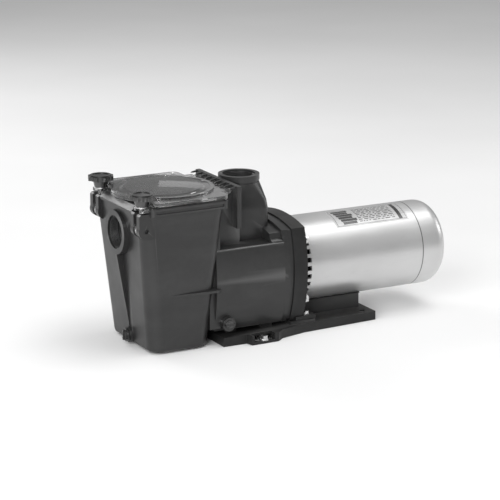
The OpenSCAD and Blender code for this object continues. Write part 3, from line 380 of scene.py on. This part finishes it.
def thread(name, mount):
    """Helical ridge inside a port socket: a closed strip that fades out at both ends."""
    m = MOUNTS[mount]
    axis = Vector(m["axis"]).normalized()
    side = axis.orthogonal().normalized()
    other = axis.cross(side)
    wall_r = m["dims"]["r_mm"] / 1000
    length = m["dims"]["length_mm"] / 1000
    start = Vector(m["pos_m"]) - axis * (length / 2 - THREAD_PITCH)
    turns = (length - 2.5 * THREAD_PITCH) / THREAD_PITCH
    rings = int(turns * RINGS_PER_TURN)
    verts, faces = [], []
    for i in range(rings + 1):
        angle = 2 * math.pi * i / RINGS_PER_TURN
        out = side * math.cos(angle) + other * math.sin(angle)
        along = start + axis * (THREAD_PITCH * i / RINGS_PER_TURN)
        fade = min(1, i / FADE_RINGS, (rings - i) / FADE_RINGS)
        crest = THREAD_DEPTH * max(fade, END_CREST)
        for offset, on_crest in THREAD_SECTION:
            verts.append(along + axis * (THREAD_PITCH * offset) + out * (wall_r - on_crest * crest))
    for i in range(rings):
        a, b = 4 * i, 4 * i + 4
        for k in range(4):
            n = (k + 1) % 4
            faces.append((a + k, a + n, b + n, b + k))
    faces.append((3, 2, 1, 0))
    faces.append(tuple(4 * rings + k for k in range(4)))
    mesh = bpy.data.meshes.new(name)
    mesh.from_pydata([tuple(v) for v in verts], [], faces)
    mesh.polygons.foreach_set("use_smooth", [True] * len(mesh.polygons))
    mesh.update()
    place(mesh, "body_plastic", "pump_frame")


thread("suction_port_thread", "suction_port")
thread("discharge_port_thread", "discharge_port")

PLATE_LOW, PLATE_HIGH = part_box("nameplate")
PLATE_TOP_ANGLE, PLATE_LOW_ANGLE = math.radians(2), math.radians(40)
# Radii of the underside and the face of the ink
INK_IN = SHELL_R + 0.00043
INK_OUT = INK_IN + 0.00006


def plate_bar(bm, u0, u1, v0, v1):
    """Closed bar on the plate: u runs along the motor and v from the top edge down, both from 0 to 1."""
    steps = max(2, int((v1 - v0) * 24))
    rows = []
    for i in range(steps + 1):
        v = v0 + (v1 - v0) * i / steps
        angle = PLATE_TOP_ANGLE + (PLATE_LOW_ANGLE - PLATE_TOP_ANGLE) * v
        out = Vector((0, -math.sin(angle), math.cos(angle)))
        row = []
        for u, r in ((u0, INK_IN), (u1, INK_IN), (u1, INK_OUT), (u0, INK_OUT)):
            x = PLATE_LOW.x + (PLATE_HIGH.x - PLATE_LOW.x) * u
            row.append(bm.verts.new(Vector((x, 0, SHAFT_Z)) + out * r))
        rows.append(row)
    for a, b in zip(rows, rows[1:]):
        for k in range(4):
            n = (k + 1) % 4
            bm.faces.new((a[k], a[n], b[n], b[k]))
    bm.faces.new(reversed(rows[0]))
    bm.faces.new(rows[-1])


def nameplate_print():
    """Generic data plate: a dark panel of bars, rows of short bars, a frame line and an end stripe."""
    rng = random.Random(7)
    bm = bmesh.new()
    for v0, v1 in ((0.04, 0.055), (0.945, 0.96)):
        plate_bar(bm, 0.02, 0.98, v0, v1)
    for u0 in (0.02, 0.975):
        plate_bar(bm, u0, u0 + 0.005, 0.04, 0.96)
    # Panel of bars at the left, with gaps that read as light lines
    for i in range(6):
        top = 0.10 + i * 0.137
        left = 0.05 + 0.012 * i
        plate_bar(bm, left, left + 0.22 - 0.03 * (i % 2), top, top + 0.122)
    # Rows of print
    for i in range(9):
        u, top = 0.34, 0.12 + i * 0.088
        while u < 0.82:
            length = rng.uniform(0.02, 0.075)
            plate_bar(bm, u, min(u + length, 0.83), top, top + 0.036)
            u += length + rng.uniform(0.012, 0.03)
    plate_bar(bm, 0.875, 0.925, 0.04, 0.96)
    bmesh.ops.recalc_face_normals(bm, faces=bm.faces)
    mesh = bpy.data.meshes.new("nameplate_print")
    bm.to_mesh(mesh)
    bm.free()
    place(mesh, "knob_plastic", "pump_frame")


nameplate_print()


# ---------------------------------------------------------------------------------------------
# Floor, light and camera
# ---------------------------------------------------------------------------------------------

FLOOR_HALF = 14.0
FLOOR_Z = -0.0002


def make_floor():
    mesh = bpy.data.meshes.new("studio_floor")
    corners = ((-1, -1), (1, -1), (1, 1), (-1, 1))
    mesh.from_pydata([(x * FLOOR_HALF, y * FLOOR_HALF, FLOOR_Z) for x, y in corners], [], [(0, 1, 2, 3)])
    f = Finish("studio_floor", specular=0.2)
    f.bump(f.noise(300, 2), 0.0002, 0.1)
    colour = f.blend(f.remap(f.noise(2, 2), 0.3, 0.7, 0, 1), grey(0.80), grey(0.83))
    mesh.materials.append(f.done(colour, 0.65))
    o = bpy.data.objects.new("studio_floor", mesh)
    bpy.context.scene.collection.objects.link(o)


MIDDLE = Vector((0, 0, 0.12))


def soft_light(name, position, size, power):
    """Rectangular light, size in metres and power in watts, turned to the middle of the pump."""
    data = bpy.data.lights.new(name, "AREA")
    data.shape = "RECTANGLE"
    data.size, data.size_y = size
    data.energy = power
    o = bpy.data.objects.new(name, data)
    o.location = position
    o.rotation_mode = "QUATERNION"
    o.rotation_quaternion = (MIDDLE - Vector(position)).to_track_quat("-Z", "Y")
    bpy.context.scene.collection.objects.link(o)


def make_world():
    """Even grey room: dark below, lighter from the horizon up."""
    world = bpy.data.worlds.new("studio")
    bpy.context.scene.world = world
    world.use_nodes = True
    tree = world.node_tree
    coord = tree.nodes.new("ShaderNodeTexCoord")
    split = tree.nodes.new("ShaderNodeSeparateXYZ")
    ramp = tree.nodes.new("ShaderNodeValToRGB")
    tree.links.new(coord.outputs["Generated"], split.inputs[0])
    tree.links.new(split.outputs["Z"], ramp.inputs[0])
    stops = ((0.0, 0.48), (0.25, 0.55), (0.52, 0.85), (1.0, 1.0))
    while len(ramp.color_ramp.elements) < len(stops):
        ramp.color_ramp.elements.new(0.5)
    for element, (position, value) in zip(ramp.color_ramp.elements, stops):
        element.position = position
        element.color = (value, value, value, 1)
    background = tree.nodes["Background"]
    tree.links.new(ramp.outputs[0], background.inputs["Color"])
    background.inputs["Strength"].default_value = 0.46


make_floor()
make_world()
soft_light("key", (-2.2, -1.6, 1.7), (1.9, 1.9), 54)
soft_light("overhead", (0.8, -0.5, 2.8), (2.4, 1.6), 44)
soft_light("far_side", (-0.8, 2.6, 1.7), (1.6, 0.8), 30)
soft_light("motor_end", (2.8, -0.3, 1.0), (1.0, 1.0), 12)
soft_light("low_front", (-1.9, -2.2, 0.8), (0.9, 0.7), 22)
soft_light("cover_glint", (1.35, 2.5, 0.95), (0.7, 0.4), 0.35)

camera_data = bpy.data.cameras.new("camera")
camera_data.lens = 154.85
camera_data.sensor_width = 36.0
camera_data.clip_end = 60.0
camera = bpy.data.objects.new("camera", camera_data)
bpy.context.scene.collection.objects.link(camera)
bpy.context.scene.camera = camera
AIM = Vector((-0.0499, 0, 0.1364))
AZIMUTH, ELEVATION, DISTANCE = math.radians(-28.15), math.radians(14.83), 3.7617
back = Vector((math.sin(AZIMUTH) * math.cos(ELEVATION), -math.cos(AZIMUTH) * math.cos(ELEVATION),
               math.sin(ELEVATION)))
camera.location = AIM + back * DISTANCE
camera.rotation_mode = "QUATERNION"
camera.rotation_quaternion = (-back).to_track_quat("-Z", "Y")

bpy.context.scene.view_settings.view_transform = "Standard"
